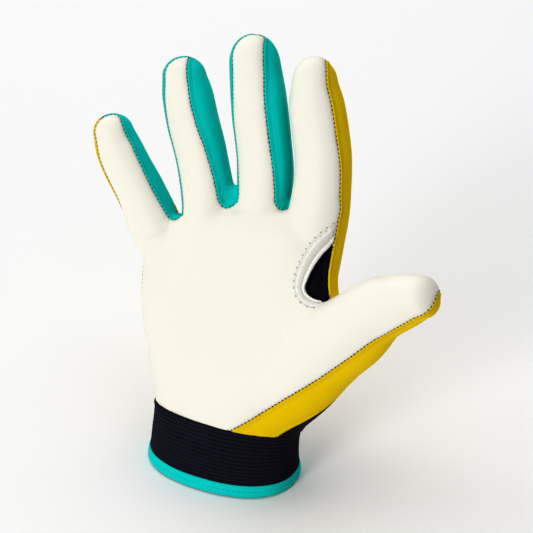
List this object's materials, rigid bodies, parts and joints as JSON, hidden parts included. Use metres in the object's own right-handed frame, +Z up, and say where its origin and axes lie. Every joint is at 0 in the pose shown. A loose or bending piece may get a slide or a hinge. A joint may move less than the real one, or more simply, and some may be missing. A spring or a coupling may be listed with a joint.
{
  "type": "gaelic football glove",
  "caption": "Right-hand stretch sport glove, worn open: smooth pale palm, bright finger sides and back, bound cutout at the thumb web and ribbed elastic cuff.",
  "frame": {"origin": "centre of the wrist opening, on the lower edge of the hem", "axes": "+Z up the hand from the wrist, +X to the thumb side, -Y the way the palm faces"},
  "size_m": [0.173, 0.083, 0.1812],
  "materials": {
    "palm_skin": "smooth coated synthetic leather, satin",
    "back_cloth": "stretch knit, matt",
    "side_cloth": "stretch knit, matt",
    "insert_mesh": "knitted mesh, matt",
    "web_tape": "woven tape, matt",
    "yoke_cloth": "stretch knit, matt",
    "cuff_elastic": "ribbed elastic, matt",
    "hem_tape": "woven tape, matt"
  },
  "bodies": {
    "root": {"palm": "palm_skin", "back": "back_cloth", "fourchette_little_ring": "side_cloth", "fourchette_ring_middle": "side_cloth", "fourchette_middle_index": "side_cloth", "web_insert": "insert_mesh", "web_binding": "web_tape", "wrist_yoke": "yoke_cloth", "cuff": "cuff_elastic", "hem_binding": "hem_tape"}
  },
  "joints": []
}
